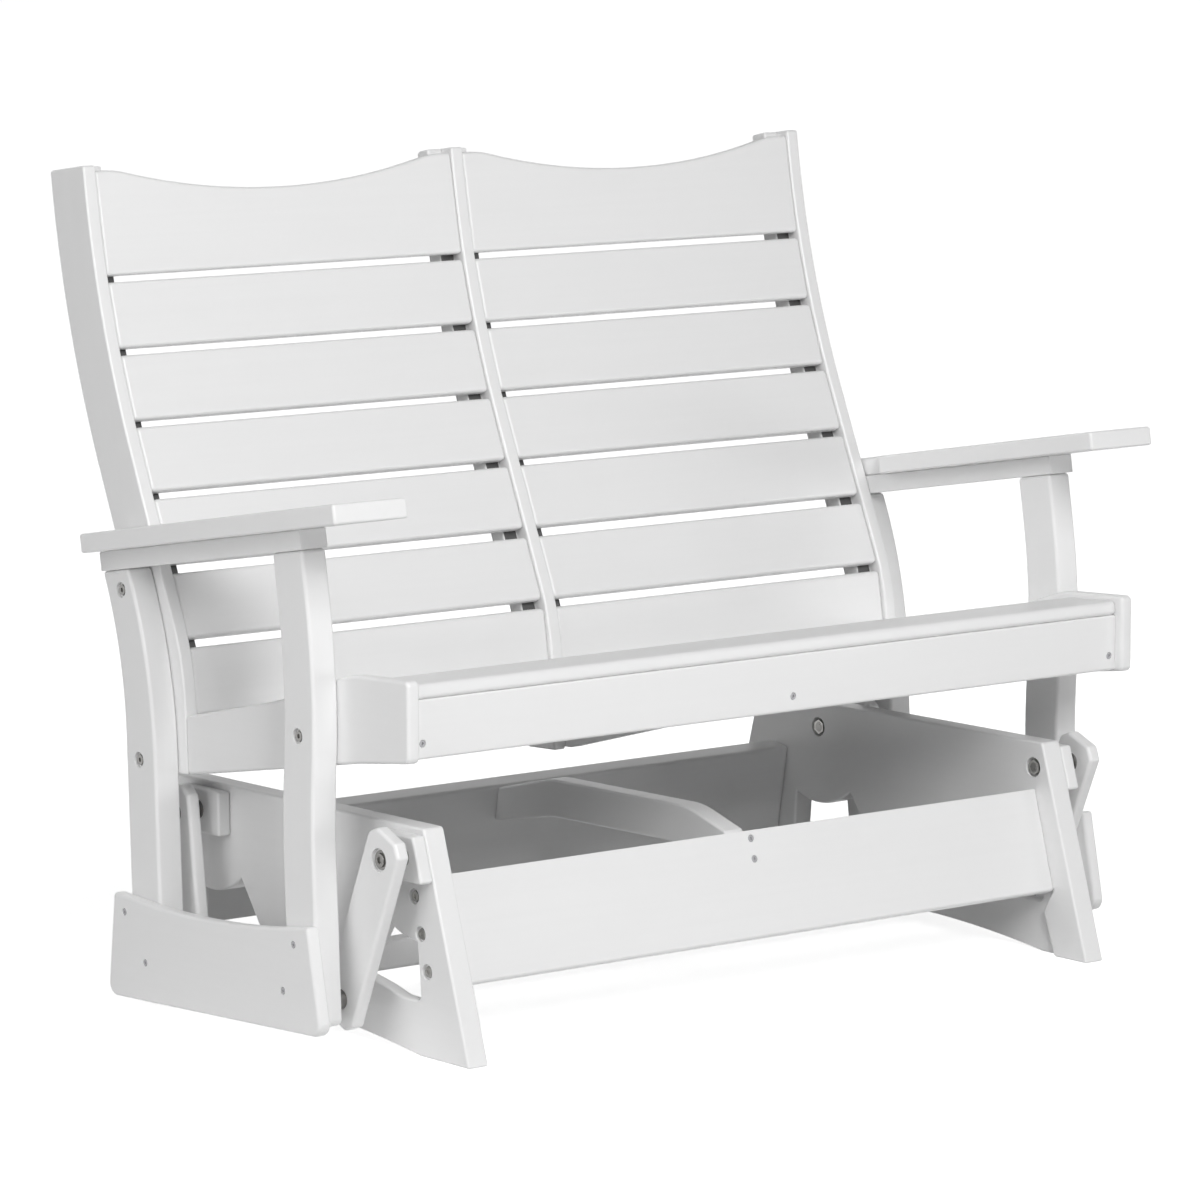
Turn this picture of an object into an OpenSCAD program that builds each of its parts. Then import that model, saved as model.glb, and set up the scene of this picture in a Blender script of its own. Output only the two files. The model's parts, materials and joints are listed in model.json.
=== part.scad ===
/* [Base frame] */
// Distance between the outer faces of the two end frames
base_width = 1068.2; // [900:0.1:1200]
// Thickness of an end frame panel
frame_thick = 31.75; // [25:0.05:40]
// Depth of the relief on the inner side of the lower web
relief_depth = 12.7; // [5:0.1:18]
// Height of the end frame panel
frame_high = 288; // [260:1:320]
// Front tip of the front foot
foot_front = -410.5; // [-440:0.5:-380]
// Rear tip of the rear foot
foot_rear = 353; // [320:0.5:380]
// Lean of the legs from upright
leg_lean = 17.4; // [12:0.1:22]
// Length of each foot on the floor
foot_flat = 100.5; // [60:0.5:140]
// Rise of the arch between the feet
arch_rise = 20; // [8:0.5:40]
// Length from one side of a rail to the other, up the board
rail_high = 139.7; // [100:0.1:180]
// Thickness of the cross rails
rail_thick = 31.75; // [25:0.05:40]
// Lean of the front rail
front_rail_lean = 16; // [8:0.5:24]
// Lean of the rear rail
rear_rail_lean = 10; // [5:0.5:24]
// Height of the lower stretcher board
stretcher_high = 38.1; // [30:0.1:60]
// Thickness of the centre brace
brace_thick = 31.75; // [19:0.05:40]

/* [Glide linkage] */
// Distance between the pivots of a swing arm
arm_length = 203.2; // [150:0.1:260]
// Height of the upper pivots
pivot_high = 252.6; // [220:0.1:280]
// Position of the front upper pivot from front to rear
pivot_front = -303.1; // [-330:0.1:-270]
// Position of the rear upper pivot from front to rear
pivot_rear = 140.4; // [110:0.1:170]
// Angle of the front arms in the rest pose, lower end rearward
front_swing = 23.3; // [3.3:0.1:27.3]
// Distance between the lower pivots of one side
link_length = 337.99; // [300:0.01:380]
// Width of a swing arm
arm_wide = 68; // [50:0.5:90]
// Thickness of a swing arm
arm_thick = 19.05; // [15:0.05:26]
// Length of an arm beyond its pivots
arm_end = 35.5; // [28:0.5:45]
// Size of the clipped corners of an arm
arm_clip = 14; // [6:0.5:20]
// Gap between a pivot block and its swing arm
upper_gap = 18.3; // [12:0.1:30]
// Gap between a swing arm and its arm post
lower_gap = 14.5; // [10:0.1:25]
// Thickness of the pivot blocks
block_thick = 19.05; // [12:0.05:26]
// Radius of the pivot bolts
pivot_bolt_r = 6.35; // [4:0.05:8]
// Outer radius of the pivot bushes
bush_r = 9.5; // [8:0.1:13]
// Running clearance between bolt and bush
run_clear = 0.06; // [0.02:0.01:0.1]
// Clearance of the bushes at the rear lower pivots
free_clear = 2.2; // [1.8:0.1:3]

/* [Seat unit] */
// Thickness of the flat boards
board_thick = 19.05; // [15:0.05:26]
// Width of a slat
slat_wide = 88.9; // [70:0.1:110]
// Width of a back slat
back_slat_wide = 87.6; // [70:0.1:110]
// Gap between the seat slats
seat_gap = 7; // [4:0.5:12]
// Width of the top back slat at its ends
top_slat_wide = 137.3; // [110:0.1:160]
// Depth of the scoop in a top back slat
scoop_depth = 32.8; // [15:0.1:55]
// Height step from one back slat to the next
back_step = 92.9; // [85:0.1:105]
// Height of the middle of the lowest back slat
back_low = 434; // [425:0.5:445]
// Distance of the back slats behind the front edge of the posts
slat_set = 2.5; // [0:0.1:6]
// Width of the strips behind the slat ends
strip_wide = 24; // [15:0.5:35]
// Thickness of the strips behind the slat ends
strip_thick = 22; // [12:0.5:30]
// Width of a back post at the top
back_post_wide = 79.5; // [60:0.5:95]
// Height of the seat apron board
apron_high = 74.5; // [60:0.5:100]
// Lean of the seat apron board
apron_lean = 2.3; // [0:0.1:6]

/* [Armrests] */
// Thickness of the arm posts
arm_post_thick = 38.1; // [30:0.1:45]
// Thickness of armrests and their support boards
arm_board_thick = 25.4; // [19:0.1:32]
// Width of an armrest
armrest_wide = 111.5; // [80:1:140]
// Slope of the armrests
armrest_slope = 6.97; // [0:0.1:12]
// Width of the support board below an armrest
arm_support_wide = 41.1; // [38.1:0.1:60]
// Radius of the front corners of an armrest
armrest_corner = 4; // [3:0.5:30]

/* [Fasteners] */
// Radius of the recess around the arm pivot heads
arm_recess_r = 15; // [12:0.1:18]
// Depth of the recess around the arm pivot heads
arm_recess_deep = 5; // [3:0.1:8]
// Radius of the recess on the inner side of the frames
nut_recess_r = 13.5; // [12:0.1:18]
// Radius of the recesses for the smaller bolts
bolt_recess_r = 10; // [7:0.1:13]
// Depth of the recesses for the smaller bolts
bolt_recess_deep = 5; // [2:0.1:9]
// Radius of the smaller bolts
bolt_r = 4; // [3:0.1:6]
// Head radius of the screws
screw_head_r = 4.5; // [3:0.1:6]
// Shank radius of the screws
screw_r = 2.2; // [1.5:0.1:4]
// Gap between a fastener and its hole
hole_gap = 0.3; // [0.2:0.05:0.5]

/* [Hidden] */
$fn = 64;
shift_y = 12.2;

// Side planes of the layers, from the middle outwards
x_out = base_width / 2;
x_in = x_out - frame_thick;
x_block = x_out + block_thick;
x_arm = x_block + upper_gap;
x_arm_out = x_arm + arm_thick;
x_seat = x_arm_out + lower_gap;
x_board = x_seat - board_thick;
x_post = x_seat + arm_post_thick;
x_plate = x_post + board_thick;
big = 400;

// Outline helpers: a polygon whose corners are rounded by true circles
function unit(v) = v / norm(v);
function cross2(a, b) = a[0] * b[1] - a[1] * b[0];
function half_angle(a, b, c) = acos(max(-1, min(1, unit(a - b) * unit(c - b)))) / 2;
function tan_len(a, b, c, r) = r / tan(half_angle(a, b, c));
function turns_left(a, b, c) = cross2(b - a, c - b) > 0;
function arc_mid(a, b, c, r) =
  b + unit(unit(a - b) + unit(c - b)) * r / sin(half_angle(a, b, c));
function prev(p, i) = p[(i + len(p) - 1) % len(p)];
function next(p, i) = p[(i + 1) % len(p)];
function cut_corners(p, r) = [
  for (i = [0 : len(p) - 1])
    let (a = prev(p, i), b = p[i], c = next(p, i), t = r[i] > 0 ? tan_len(a, b, c, r[i]) : 0)
    for (q = r[i] > 0 ? [b + unit(a - b) * t, b + unit(c - b) * t] : [b]) q
];

// Points run against the clock, seen with the first axis to the right
module outline(p, r) {
  difference() {
    union() {
      polygon(cut_corners(p, r));
      for (i = [0 : len(p) - 1])
        if (r[i] > 0 && turns_left(prev(p, i), p[i], next(p, i)))
          translate(arc_mid(prev(p, i), p[i], next(p, i), r[i]))
            circle(r = r[i], $fn = 96);
    }
    for (i = [0 : len(p) - 1])
      if (r[i] > 0 && !turns_left(prev(p, i), p[i], next(p, i)))
        translate(arc_mid(prev(p, i), p[i], next(p, i), r[i]))
          circle(r = r[i], $fn = 96);
  }
}

// Long curved edges: only the slice near the corner is added or cut
module soft_outline(p, r) {
  difference() {
    union() {
      polygon(cut_corners(p, r));
      for (i = [0 : len(p) - 1])
        if (r[i] > 0 && turns_left(prev(p, i), p[i], next(p, i)))
          intersection() {
            corner_zone(prev(p, i), p[i], next(p, i), r[i]);
            translate(arc_mid(prev(p, i), p[i], next(p, i), r[i]))
              circle(r = r[i], $fn = 180);
          }
    }
    for (i = [0 : len(p) - 1])
      if (r[i] > 0 && !turns_left(prev(p, i), p[i], next(p, i)))
        intersection() {
          corner_zone(prev(p, i), p[i], next(p, i), r[i]);
          translate(arc_mid(prev(p, i), p[i], next(p, i), r[i]))
            circle(r = r[i], $fn = 180);
        }
  }
}

// The triangle between a corner and its two tangent points, with a narrow
// strip on its inner side so that it overlaps the polygon
module corner_zone(a, b, c, r) {
  t = tan_len(a, b, c, r);
  p1 = b + unit(a - b) * t;
  p2 = b + unit(c - b) * t;
  inward = unit(arc_mid(a, b, c, r) - b);
  polygon([p1, b, p2, p2 + inward, p1 + inward]);
}

// A board lying across the bench from x0 to x1, drawn from the side
module board(x0, x1) {
  translate([x0, 0, 0])
    rotate([90, 0, 90])
      linear_extrude(height = x1 - x0)
        children();
}

// A round hole or pin along the bench
module pin(p, x0, x1, r) {
  translate([x0, p[0], p[1]])
    rotate([0, 90, 0])
      cylinder(h = x1 - x0, r = r);
}

// The left parts are the mirror image of the right ones
module side(s) {
  if (s > 0) children();
  else mirror([1, 0, 0]) children();
}

// Places the fixed base on the shared origin
module base_frame() {
  translate([0, shift_y, 0]) children();
}

// Linkage: the front arm angle sets the rear arm angle and the seat tilt
low_front = [
  pivot_front + arm_length * sin(front_swing),
  pivot_high - arm_length * cos(front_swing)
];
span = [pivot_rear, pivot_high] - low_front;
span_len = norm(span);
span_dir = atan2(span[1], span[0]);
span_cos = (span_len * span_len + link_length * link_length - arm_length * arm_length)
  / (2 * span_len * link_length);
link_dir = span_dir - acos(span_cos);
low_rear = low_front + link_length * [cos(link_dir), sin(link_dir)];
rear_swing = asin((low_rear[0] - pivot_rear) / arm_length);

// Lower pivots in the level frame of the seat unit
seat_pivot_front = [-163.4, 59.4];
seat_pivot_rear = [174.59, 58];
seat_dir = atan2(seat_pivot_rear[1] - seat_pivot_front[1], seat_pivot_rear[0] - seat_pivot_front[0]);
seat_tilt = link_dir - seat_dir;

module seat_frame() {
  translate([0, shift_y + low_front[0], low_front[1]])
    rotate([seat_tilt, 0, 0])
      translate([0, -seat_pivot_front[0], -seat_pivot_front[1]])
        children();
}

module arm_frame(y, a) {
  translate([0, shift_y + y, pivot_high])
    rotate([a, 0, 0])
      children();
}

// End frames
leg_run = tan(leg_lean);
function leg_front(z) = foot_front + z * leg_run;
function leg_rear(z) = foot_rear - z * (foot_rear - 272) / frame_high;
arch_mid = (foot_front + foot_flat + foot_rear - foot_flat) / 2;
arch_half = (foot_rear - foot_front) / 2 - foot_flat;
arch_r = (arch_half * arch_half + arch_rise * arch_rise) / (2 * arch_rise);
window_r = 108;
window_low = 70;

module frame_outline() {
  difference() {
    outline(
      [[foot_front, 0], [foot_rear, 0], [leg_rear(frame_high), frame_high],
        [leg_front(frame_high), frame_high]],
      [0, 0, 6, 6]
    );
    translate([arch_mid, arch_rise - arch_r])
      circle(r = arch_r, $fn = 360);
    front_window();
    rear_window();
  }
}

// The windows end above at a round web around each upper pivot
module front_window() {
  difference() {
    soft_outline(
      [[-311.6, window_low], [-272, window_low], [-238, 79], [-179.4, 89.3],
        [-240, 175], [-306, 160]],
      [8, 60, 120, 14, 0, 0]
    );
    translate([pivot_front, pivot_high])
      circle(r = window_r, $fn = 180);
  }
}

module rear_window() {
  difference() {
    soft_outline(
      [[16.7, 89.3], [75.3, 79], [109.3, window_low], [195, window_low], [186, 165],
        [77.3, 175]],
      [14, 120, 60, 8, 0, 0]
    );
    translate([pivot_rear, pivot_high])
      circle(r = window_r, $fn = 180);
  }
}

// The lower web is thinner than the legs and the upper hub
module relief_outline() {
  outline(
    [[-348.6, -5], [291, -5], [269.4, 59.6], [258, 75], [214, 72], [180, 77], [180, 108],
      [-300, 108], [-300, 77], [-316, 80], [-343, 90], [-325, 59.6]],
    [0, 0, 8, 0, 0, 0, 0, 0, 0, 0, 0, 8]
  );
}

// A point inside a leaning rail: t through the board, s down the board
function rail_pt(y, z, a, t, s) = [y + t * cos(a) + s * sin(a), z + t * sin(a) - s * cos(a)];
front_rail_y = -309.3;
front_rail_z = 224.3;
rear_rail_y = 203.5;
rear_rail_z = 217;
rail_marks = [20.4, 68, 115.6];
function front_rail_pt(t, s) = rail_pt(front_rail_y, front_rail_z, -front_rail_lean, t, s);
function rear_rail_pt(t, s) = rail_pt(rear_rail_y, rear_rail_z, rear_rail_lean, t, s);
rail_points = [
  for (s = rail_marks) front_rail_pt(rail_thick / 2, s),
  for (s = rail_marks) rear_rail_pt(rail_thick / 2, s)
];
pivot_points = [[pivot_front, pivot_high], [pivot_rear, pivot_high]];

module end_frame(s) {
  color("whitesmoke")
    base_frame()
      side(s)
        difference() {
          board(x_in, x_out) frame_outline();
          board(x_in - 1, x_in + relief_depth) relief_outline();
          for (p = pivot_points) {
            pin(p, x_in - 1, x_out + 1, pivot_bolt_r + hole_gap);
            pin(p, x_in - 1, x_in + nut_deep, nut_recess_r);
          }
          for (p = rail_points) {
            pin(p, x_in - 1, x_out + 1, bolt_r + hole_gap);
            pin(p, x_out - bolt_recess_deep, x_out + 1, bolt_recess_r);
          }
        }
}

module rail(y, z, a) {
  translate([-x_in, y, z])
    rotate([a, 0, 0])
      translate([0, 0, -rail_high])
        cube([2 * x_in, rail_thick, rail_high]);
}

rail_bolt_len = 70;

module rail_holes(points) {
  for (p = points)
    for (m = [0, 1])
      mirror([m, 0, 0])
        pin(p, x_in - rail_bolt_len - 2, x_in + 1, bolt_r + hole_gap);
}

brace_screw_marks = [10.5, 37.5];
brace_screw_len = 60;

module front_rail() {
  color("white")
    base_frame()
      difference() {
        rail(front_rail_y, front_rail_z, -front_rail_lean);
        rail_holes([for (s = rail_marks) front_rail_pt(rail_thick / 2, s)]);
        translate([0, front_rail_y, front_rail_z])
          rotate([-front_rail_lean, 0, 0])
            for (s = brace_screw_marks)
              translate([0, 0, -s]) screw_hole(brace_screw_len);
      }
}

module rear_rail() {
  color("white")
    base_frame()
      difference() {
        rail(rear_rail_y, rear_rail_z, rear_rail_lean);
        rail_holes([for (s = rail_marks) rear_rail_pt(rail_thick / 2, s)]);
        translate([0, rear_rail_y, rear_rail_z])
          rotate([rear_rail_lean, 0, 0])
            for (s = brace_screw_marks)
              translate([0, rail_thick, -s]) mirror([0, 1, 0]) screw_hole(brace_screw_len);
      }
}

// Screws run along +Y from a face at y = 0, head at the face
screw_head_deep = 3;
module screw_hole(len) {
  rotate([-90, 0, 0]) {
    translate([0, 0, -1]) cylinder(h = screw_head_deep + 1.6, r = screw_head_r + hole_gap, $fn = 32);
    translate([0, 0, -1]) cylinder(h = len + 2, r = screw_r + hole_gap, $fn = 32);
  }
}

module screw(len) {
  rotate([-90, 0, 0])
    difference() {
      union() {
        translate([0, 0, 0.6]) cylinder(h = screw_head_deep, r = screw_head_r, $fn = 32);
        translate([0, 0, 0.6]) cylinder(h = len - 0.6, r = screw_r, $fn = 32);
      }
      translate([0, 0, -1]) cylinder(h = 3, r = screw_r * 0.9, $fn = 6);
    }
}

brace_top_rear = rear_rail_pt(0, 3);
brace_low_rear = rear_rail_pt(0, 50);
brace_top_front = front_rail_pt(rail_thick, -5);
brace_low_front = front_rail_pt(rail_thick, 46);

module centre_brace() {
  color("white")
    base_frame()
      difference() {
        board(-brace_thick / 2, brace_thick / 2)
          soft_outline(
            [brace_low_front, [-190, 192], [85, 190], brace_low_rear,
              brace_top_rear, [90, 241], [-200, 243.5], brace_top_front],
            [0, 150, 150, 0, 0, 120, 150, 0]
          );
        translate([0, front_rail_y, front_rail_z])
          rotate([-front_rail_lean, 0, 0])
            for (s = brace_screw_marks)
              translate([0, 0, -s]) screw_hole(brace_screw_len);
        translate([0, rear_rail_y, rear_rail_z])
          rotate([rear_rail_lean, 0, 0])
            for (s = brace_screw_marks)
              translate([0, rail_thick, -s]) mirror([0, 1, 0]) screw_hole(brace_screw_len);
      }
}

stretcher_mid = (pivot_front + pivot_rear) / 2;

module lower_stretcher() {
  color("white")
    base_frame()
      translate([-(x_in + relief_depth), stretcher_mid - rail_thick / 2, 61.2])
        cube([2 * (x_in + relief_depth), rail_thick, stretcher_high]);
}

// Pivot blocks outside the end frames
block_half = 46.4;
block_low = 222;
block_top = 280;

module pivot_block(s, rear) {
  color("whitesmoke")
    base_frame()
      side(s)
        difference() {
          board(x_out, x_block)
            if (rear)
              outline(
                [[pivot_rear - block_half, block_low], [pivot_rear + block_half, block_low],
                  [pivot_rear + block_half, block_top], [pivot_rear - block_half, block_top]],
                [4, 4, 4, 4]
              );
            else
              outline(
                [[leg_front(block_low), block_low], [pivot_front + block_half, block_low],
                  [pivot_front + block_half, block_top], [leg_front(block_top), block_top]],
                [4, 4, 4, 4]
              );
          pin(rear ? pivot_points[1] : pivot_points[0], x_out - 1, x_block + 1,
            pivot_bolt_r + hole_gap);
        }
}

spacer_r = 12.7;
sleeve_r = 10;
washer_thick = 2.4;

module upper_spacers() {
  color("silver")
    base_frame()
      for (s = [-1, 1])
        for (p = pivot_points)
          side(s)
            difference() {
              union() {
                pin(p, x_block, x_arm - 0.3, sleeve_r);
                pin(p, x_block, x_block + washer_thick, spacer_r);
                pin(p, x_arm - 0.3 - washer_thick, x_arm - 0.3, spacer_r);
              }
              pin(p, x_block - 1, x_arm + 1, pivot_bolt_r + hole_gap);
            }
}

// Pivot bolts: shank, recessed round head with a hexagon socket, nut
nut_deep = 9;
nut_high = 7;
head_high = 3.8;
head_r = 9;

module pivot_bolt(p, x0, x1) {
  difference() {
    union() {
      pin(p, x0, x1, pivot_bolt_r);
      pin(p, x1, x1 + head_high, head_r);
      pin(p, x1, x1 + 1, head_r + 3.5);
    }
    translate([x1 + head_high - 2.4, p[0], p[1]])
      rotate([0, 90, 0])
        cylinder(h = 4, r = 4.6, $fn = 6);
  }
}

module hex_nut(p, x0, x1) {
  difference() {
    union() {
      translate([x0, p[0], p[1]])
        rotate([0, 90, 0])
          cylinder(h = x1 - x0 - 1.2, r = 10.6, $fn = 6);
      pin(p, x1 - 1.3, x1, nut_recess_r - 1);
    }
    pin(p, x0 - 1, x1 + 1, pivot_bolt_r + 0.05);
  }
}

module upper_pivot_bolts() {
  color("silver")
    base_frame()
      for (s = [-1, 1])
        for (p = pivot_points)
          side(s)
            pivot_bolt(p, x_in + 0.5, x_arm_out - arm_recess_deep + 0.4);
}

module upper_pivot_nuts() {
  color("silver")
    base_frame()
      for (s = [-1, 1])
        for (p = pivot_points)
          side(s)
            hex_nut(p, x_in + nut_deep - nut_high - 1.2, x_in + nut_deep);
}

// Smaller bolts: head outwards in a round recess
module small_bolt(p, x0, x1) {
  difference() {
    union() {
      pin(p, x0, x1, bolt_r);
      pin(p, x1, x1 + 3.4, 6.6);
      pin(p, x1, x1 + 0.8, 7.8);
    }
    translate([x1 + 1.4, p[0], p[1]])
      rotate([0, 90, 0])
        cylinder(h = 4, r = 3, $fn = 6);
  }
}

module rail_bolts() {
  color("silver")
    base_frame()
      for (s = [-1, 1])
        for (p = rail_points)
          side(s)
            small_bolt(p, x_in - rail_bolt_len, x_out - bolt_recess_deep);
}

module brace_screws() {
  color("dimgray")
    base_frame() {
      translate([0, front_rail_y, front_rail_z])
        rotate([-front_rail_lean, 0, 0])
          for (s = brace_screw_marks)
            translate([0, 0, -s]) screw(brace_screw_len);
      translate([0, rear_rail_y, rear_rail_z])
        rotate([rear_rail_lean, 0, 0])
          for (s = brace_screw_marks)
            translate([0, rail_thick, -s]) mirror([0, 1, 0]) screw(brace_screw_len);
    }
}

// Swing arms hang from the upper pivots; the pivot is the local origin
module arm_outline() {
  h = arm_wide / 2;
  c = arm_clip;
  low = -arm_length - arm_end;
  outline(
    [[-h + c, low], [h - c, low], [h, low + c], [h, arm_end - c],
      [h - c, arm_end], [-h + c, arm_end], [-h, arm_end - c], [-h, low + c]],
    [6, 6, 6, 6, 6, 6, 6, 6]
  );
}

arm_mark = [12, -154];

module swing_arm(s, y, a) {
  color("white")
    arm_frame(y, a)
      side(s)
        difference() {
          board(x_arm, x_arm_out) arm_outline();
          pin([0, 0], x_arm - 1, x_arm_out + 1, bush_r);
          pin([0, 0], x_arm_out - arm_recess_deep, x_arm_out + 1, arm_recess_r);
          pin([0, -arm_length], x_arm - 1, x_arm_out + 1, bush_r);
          pin([0, -arm_length], x_arm - 1, x_arm + arm_recess_deep, arm_recess_r);
        }
}

// Two plain bushes pressed in each arm
module bushes(s, y, a, low_clear) {
  color("goldenrod")
    arm_frame(y, a)
      side(s) {
        difference() {
          pin([0, 0], x_arm, x_arm_out - arm_recess_deep, bush_r);
          pin([0, 0], x_arm - 1, x_arm_out, pivot_bolt_r + run_clear);
        }
        difference() {
          pin([0, -arm_length], x_arm + arm_recess_deep, x_arm_out, bush_r);
          pin([0, -arm_length], x_arm - 1, x_arm_out + 1, low_bolt_r + low_clear);
        }
      }
}

low_bolt_r = 5.5;

// Seat side boards
side_bottom = [[-338.8, 370.7], [-232, 362], [60, 324.5], [136.9, 315]];
side_top = [[136.9, 391], [-70, 428], [-222, 472], [-342.9, 472.6]];
post_points = [[-161.8, 394.5], [217.6, 551.4], [190.3, 334.2]];

module side_board(s) {
  color("white")
    seat_frame()
      side(s)
        difference() {
          board(x_board, x_seat)
            soft_outline(
              [side_bottom[0], side_bottom[1], side_bottom[2], side_bottom[3],
                side_top[0], side_top[1], side_top[2], side_top[3]],
              [8, 600, 500, 0, 0, 400, 160, 8]
            );
          pin(post_points[0], x_board + 4, x_seat + 1, bolt_r + hole_gap);
        }
}

// Seat slats: the first lies flat, the others follow the dished side boards
first_top = 465.7;
first_nose = -327.8;
seat_angles = [0, 15, 15, 11, 10.4];
seat_pitch = slat_wide + seat_gap;
function seat_step(i) = (seat_angles[i - 1] + seat_angles[i]) / 2;
function seat_mid(i) = i == 0
  ? [first_nose + slat_wide / 2, first_top]
  : seat_mid(i - 1) + (i == 1
    ? [slat_wide / 2, 0] + (seat_pitch - slat_wide / 2) * [cos(15), -sin(15)]
    : seat_pitch * [cos(seat_step(i)), -sin(seat_step(i))]);
function seat_pt(i, s, d) =
  seat_mid(i) + s * [cos(seat_angles[i]), -sin(seat_angles[i])]
  - d * [sin(seat_angles[i]), cos(seat_angles[i])];

// The first slat stands proud of the apron and has a fuller nose
nose_proud = 3;
nose_r = 9;

module seat_slat(i) {
  h = slat_wide / 2;
  front = i == 0 ? -h - nose_proud : -h;
  color("white")
    seat_frame()
      board(-x_board, x_board)
        outline(
          [seat_pt(i, front, board_thick), seat_pt(i, h, board_thick),
            seat_pt(i, h, 0), seat_pt(i, front, 0)],
          [4, 4, 4, i == 0 ? nose_r : 4]
        );
}

// Lower faces of the slats, from rear to front, as the top of the supports
seat_under = [
  for (i = [4 : -1 : 0])
    for (s = [1, -1])
      seat_pt(i, s * slat_wide / 2, board_thick)
];
apron_foot = [-326.9, 372.4];
function apron_pt(t, u) =
  apron_foot + t * [cos(apron_lean), sin(apron_lean)] + u * [-sin(apron_lean), cos(apron_lean)];
apron_back_top = apron_pt(board_thick, apron_high);
apron_back_low = apron_pt(board_thick, 0);
seat_under_inner = [for (i = [0 : len(seat_under) - 2]) seat_under[i]];
support_x = 9.525;

module centre_support() {
  color("white")
    seat_frame()
      board(support_x, support_x + board_thick)
        polygon(concat(
          seat_under_inner,
          [[apron_back_top[0], seat_under[9][1]], apron_back_low, [-220, 364], [-35, 324],
            [127, 288], [190, 288], [190, 360]]
        ));
}

module seat_strips() {
  color("white")
    seat_frame()
      for (s = [-1, 1])
        side(s)
          board(x_board - strip_wide, x_board)
            polygon(concat(
              seat_under_inner,
              [[apron_back_top[0], seat_under[9][1]], [apron_back_top[0] + 1, 425],
                [-205, 410], [-80, 382], [125, 344]]
            ));
}

apron_mark = 20;

module front_apron() {
  color("white")
    seat_frame()
      difference() {
        board(-x_board, x_board)
          outline(
            [apron_pt(0, 0), apron_pt(board_thick, 0),
              [apron_back_top[0], seat_under[9][1]], [apron_pt(0, apron_high)[0], seat_under[9][1]]],
            [4, 2, 0, 0]
          );
        for (x = apron_marks)
          apron_place(x) screw_hole(40);
      }
}

apron_marks = [-x_board + strip_wide / 2, support_x + board_thick / 2, x_board - strip_wide / 2];

module apron_place(x) {
  translate([x, apron_pt(0, apron_mark)[0], apron_pt(0, apron_mark)[1]])
    rotate([apron_lean, 0, 0])
      children();
}

module apron_screws() {
  color("dimgray")
    seat_frame()
      for (x = apron_marks)
        apron_place(x) screw(18);
}

// Back posts: upright foot, a straight run and a long forward curve
post_face = 136.9;
back_run = 0.385;
back_ref = [237, 716];
back_top = [326.3, 1091.5];
back_top_lean = 5.36;
back_lean = atan(back_run);
knee_low = [post_face, back_ref[1] - (back_ref[0] - post_face) / back_run];
knee_top_z = (back_top[0] - back_top[1] * tan(back_top_lean) - back_ref[0] + back_ref[1] * back_run)
  / (back_run - tan(back_top_lean));
knee_top = [back_ref[0] + (knee_top_z - back_ref[1]) * back_run, knee_top_z];
foot_depth = 62;
mean_lean = (back_lean + back_top_lean) / 2;
rear_knee_top = knee_top
  + back_post_wide / cos((back_lean - back_top_lean) / 2) * [cos(mean_lean), -sin(mean_lean)];
rear_knee_low = [
  post_face + foot_depth,
  rear_knee_top[1] - (rear_knee_top[0] - post_face - foot_depth) / back_run
];
back_top_rear = back_top + back_post_wide * [cos(back_top_lean), -sin(back_top_lean)];
low_curve = 300;
top_curve = 1310;

module back_post_outline(foot) {
  soft_outline(
    [[post_face, foot], [post_face + foot_depth, foot], rear_knee_low, rear_knee_top,
      back_top_rear, back_top, knee_top, knee_low],
    [3, 6, 230, top_curve + back_post_wide, 4, 4, top_curve, low_curve]
  );
}

module back_post(x0, foot, side_post) {
  color("white")
    seat_frame()
      difference() {
        board(x0, x0 + board_thick) back_post_outline(foot);
        if (side_post > 0)
          for (p = [post_points[1], post_points[2]])
            pin(p, x0 + 4, x0 + board_thick + 1, bolt_r + hole_gap);
        if (side_post < 0)
          for (p = [post_points[1], post_points[2]])
            pin(p, x0 - 1, x0 + board_thick - 4, bolt_r + hole_gap);
      }
}

// Front edge of a back post as a function of height
low_mid = arc_mid([post_face, 0], knee_low, knee_top, low_curve);
top_mid = arc_mid(knee_low, knee_top, back_top, top_curve);
low_end = knee_low[1] + tan_len([post_face, 0], knee_low, knee_top, low_curve) * cos(back_lean);
top_start = knee_top[1] - tan_len(knee_low, knee_top, back_top, top_curve) * cos(back_lean);
function post_front(z) =
  z < low_mid[1] ? post_face
  : z < low_end ? low_mid[0] - sqrt(low_curve * low_curve - pow(z - low_mid[1], 2))
  : z < top_start ? knee_low[0] + (z - knee_low[1]) * back_run
  : top_mid[0] + sqrt(top_curve * top_curve - pow(z - top_mid[1], 2));
row_trim = [-1.2, 2.8, 3.8, 1.9, 0, -0.3];
top_gap = 7.1;
function row_z(k) = back_low + k * back_step + row_trim[k];
function row_half(k) = k == 6 ? top_slat_wide / 2 : back_slat_wide / 2;
function row_mid_z(k) = k == 6
  ? row_z(5) + (back_slat_wide / 2 + top_gap + top_slat_wide / 2) * cos(back_top_lean + 3)
  : row_z(k);
function chord_lo(k) = row_mid_z(k) - row_half(k) * 0.96;
function chord_hi(k) = row_mid_z(k) + row_half(k) * 0.96;
function row_lean(k) =
  atan((post_front(chord_hi(k)) - post_front(chord_lo(k))) / (chord_hi(k) - chord_lo(k)));
function row_mid(k) =
  [(post_front(chord_hi(k)) + post_front(chord_lo(k))) / 2 + slat_set, row_mid_z(k)];
function row_pt(k, s, d) =
  row_mid(k) + s * [sin(row_lean(k)), cos(row_lean(k))] + d * [cos(row_lean(k)), -sin(row_lean(k))];
slat_in = board_thick / 2;

module row_frame(k) {
  translate([0, row_mid(k)[0], row_mid(k)[1]])
    rotate([-row_lean(k), 0, 0])
      children();
}

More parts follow.
